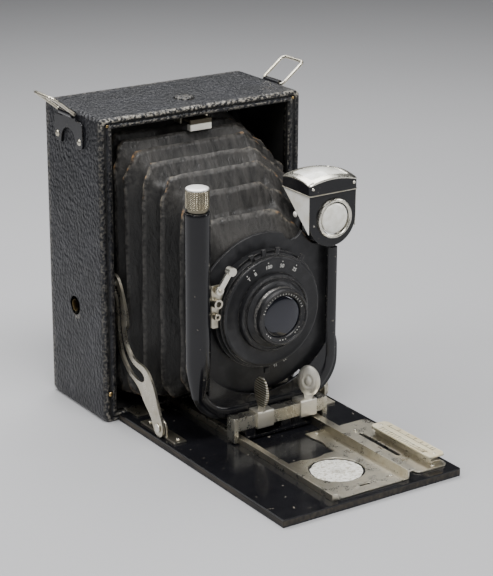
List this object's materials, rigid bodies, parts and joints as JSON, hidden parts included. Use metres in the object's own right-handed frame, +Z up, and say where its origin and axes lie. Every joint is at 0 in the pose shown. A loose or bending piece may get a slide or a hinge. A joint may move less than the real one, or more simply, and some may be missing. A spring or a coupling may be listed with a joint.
{
  "type": "folding plate camera",
  "caption": "Leather-covered folding camera, opened on its drop bed, with bellows, lens and shutter on a sliding standard.",
  "frame": {"origin": "centre of the bounding box at the surface that the camera stands on", "axes": "+Z up, the lens looks along -Y, +X is to the right for someone facing the lens"},
  "size_m": [0.1336, 0.1824, 0.1488],
  "materials": {
    "wood": "dark stained mahogany",
    "leather": "black pebbled leather, edges worn pale",
    "brass": "aged brass",
    "nickel": "aged warm nickel plate",
    "black_metal": "satin black finish",
    "bellows_leather": "thin worn grey-black leather",
    "steel": "plain steel",
    "ivory": "ivory-coloured scale material",
    "frosted_glass": "finely ground glass",
    "enamel": "glossy black enamel with small chips",
    "worn_metal": "whitish corroded metal",
    "lens_glass": "uncoated optical glass",
    "finder_glass": "clear optical glass over a mirror"
  },
  "bodies": {
    "case": {"case_shell": "wood", "leather_sides": "leather", "leather_ends": "leather", "corner_nails": "brass", "strap_lugs": "nickel", "lug_rivets": "nickel", "side_socket": "brass", "body_rails": "nickel", "back_frame": "black_metal", "bellows_rear": "bellows_leather", "bed_hinge_pin": "steel", "strut_pins": "steel", "latch_bracket": "nickel", "back_hinge": "nickel"},
    "ring_left": {"strap_ring_left": "nickel"},
    "ring_right": {"strap_ring_right": "nickel"},
    "button": {"release_button": "leather"},
    "latch": {"latch": "ivory"},
    "door": {"back_door": "leather", "ground_glass": "frosted_glass"},
    "bed": {"bed_leather": "leather", "bed_board": "wood", "bed_plate": "enamel", "bed_hinge": "nickel", "strut_brackets": "nickel", "strut_pivots": "steel", "track": "nickel", "tripod_bush": "worn_metal", "focus_base_plate": "nickel", "scale_bracket": "nickel", "focus_scale": "ivory", "bed_catch": "nickel", "bed_rivets": "nickel"},
    "brace_left": {"strut_left": "nickel"},
    "brace_right": {"strut_right": "nickel"},
    "carriage": {"carriage_plate": "nickel", "crossbar": "nickel", "u_standard": "enamel", "screw_tube": "enamel"},
    "tab_left": {"finger_tab_left": "nickel"},
    "tab_right": {"finger_tab_right": "nickel"},
    "screw": {"rise_screw": "steel", "rise_knob": "nickel"},
    "front": {"lens_board": "black_metal", "rise_nut": "brass", "bellows_front": "bellows_leather", "shutter_case": "black_metal", "shutter_face": "black_metal", "lens_barrel": "black_metal", "lens_glass": "lens_glass", "release_bracket": "nickel", "finder_bracket": "enamel"},
    "speed": {"speed_ring": "nickel"},
    "aperture": {"aperture_ring": "nickel"},
    "release": {"release_lever": "nickel"},
    "blade_a": {"blade_left": "steel"},
    "blade_b": {"blade_right": "steel"},
    "finder": {"finder_body": "enamel", "finder_trim": "nickel", "finder_optics": "finder_glass"}
  },
  "joints": [
    {"name": "bed_fold", "type": "hinge", "parent": "case", "child": "bed", "pos_m": [0, 0.0411, 0.002], "axis": [-1, 0, 0], "range_deg": [0, 12]},
    {"name": "brace_left_turn", "type": "hinge", "parent": "bed", "child": "brace_left", "pos_m": [-0.044, 0.0064, 0.0079], "axis": [-1, 0, 0], "range_deg": [-15, 1]},
    {"name": "brace_right_turn", "type": "hinge", "parent": "bed", "child": "brace_right", "pos_m": [0.044, 0.0064, 0.0079], "axis": [-1, 0, 0], "range_deg": [-15, 1]},
    {"name": "carriage_slide", "type": "slide", "parent": "bed", "child": "carriage", "axis": [0, -1, 0], "range_m": [-0.066, 0], "deforming": ["bellows_rear", "bellows_front"]},
    {"name": "tab_left_squeeze", "type": "slide", "parent": "carriage", "child": "tab_left", "axis": [1, 0, 0], "range_m": [0, 0.004], "stiffness_N_per_m": 500},
    {"name": "tab_right_squeeze", "type": "slide", "parent": "carriage", "child": "tab_right", "axis": [-1, 0, 0], "range_m": [0, 0.004], "stiffness_N_per_m": 500},
    {"name": "front_rise", "type": "slide", "parent": "carriage", "child": "front", "axis": [0, 0, 1], "range_m": [0, 0.01]},
    {"name": "rise_screw_turn", "type": "hinge", "parent": "carriage", "child": "screw", "pos_m": [-0.035, -0.0114, 0.11], "axis": [0, 0, -1], "range_deg": [-10, 2900]},
    {"name": "finder_swivel", "type": "hinge", "parent": "front", "child": "finder", "pos_m": [0.0325, 0.0011, 0.096], "axis": [0, 1, 0], "range_deg": [0, 90]},
    {"name": "speed_turn", "type": "hinge", "parent": "front", "child": "speed", "pos_m": [0, -0.0132, 0.06], "axis": [0, -1, 0], "range_deg": [-25, 15]},
    {"name": "aperture_turn", "type": "hinge", "parent": "front", "child": "aperture", "pos_m": [0, -0.0114, 0.06], "axis": [0, -1, 0], "range_deg": [-20, 20]},
    {"name": "release_press", "type": "hinge", "parent": "front", "child": "release", "pos_m": [-0.0262, -0.0147, 0.0742], "axis": [0, 1, 0], "range_deg": [0, 9], "stiffness_Nm_per_rad": 0.02},
    {"name": "blade_left_turn", "type": "hinge", "parent": "front", "child": "blade_a", "pos_m": [0, -0.0132, 0.077], "axis": [0, 1, 0], "range_deg": [-1, 31]},
    {"name": "blade_right_turn", "type": "hinge", "parent": "front", "child": "blade_b", "pos_m": [0, -0.0126, 0.077], "axis": [0, 1, 0], "range_deg": [-31, 1]},
    {"name": "ring_left_turn", "type": "hinge", "parent": "case", "child": "ring_left", "pos_m": [-0.0542, 0.0641, 0.1388], "axis": [0, 1, 0], "range_deg": [-115, 105]},
    {"name": "ring_right_turn", "type": "hinge", "parent": "case", "child": "ring_right", "pos_m": [0.0542, 0.0641, 0.1388], "axis": [0, -1, 0], "range_deg": [-115, 105]},
    {"name": "button_press", "type": "slide", "parent": "case", "child": "button", "axis": [0, 0, -1], "range_m": [0, 0.001], "stiffness_N_per_m": 800},
    {"name": "latch_turn", "type": "hinge", "parent": "case", "child": "latch", "pos_m": [0, 0.0491, 0.1327], "axis": [-1, 0, 0], "range_deg": [-1, 11.5]},
    {"name": "door_swing", "type": "hinge", "parent": "case", "child": "door", "pos_m": [-0.046, 0.0897, 0.067], "axis": [0, 0, 1], "range_deg": [0, 110]}
  ],
  "couplings": [
    {"joint": "brace_left_turn", "follows": "bed_fold", "ratio": -0.815},
    {"joint": "brace_right_turn", "follows": "bed_fold", "ratio": -0.815},
    {"joint": "rise_screw_turn", "follows": "front_rise", "rad_per_m": 5026.5},
    {"joint": "blade_left_turn", "follows": "release_press", "ratio": 3},
    {"joint": "blade_right_turn", "follows": "release_press", "ratio": -3},
    {"joint": "latch_turn", "follows": "button_press", "rad_per_m": 181.8}
  ]
}
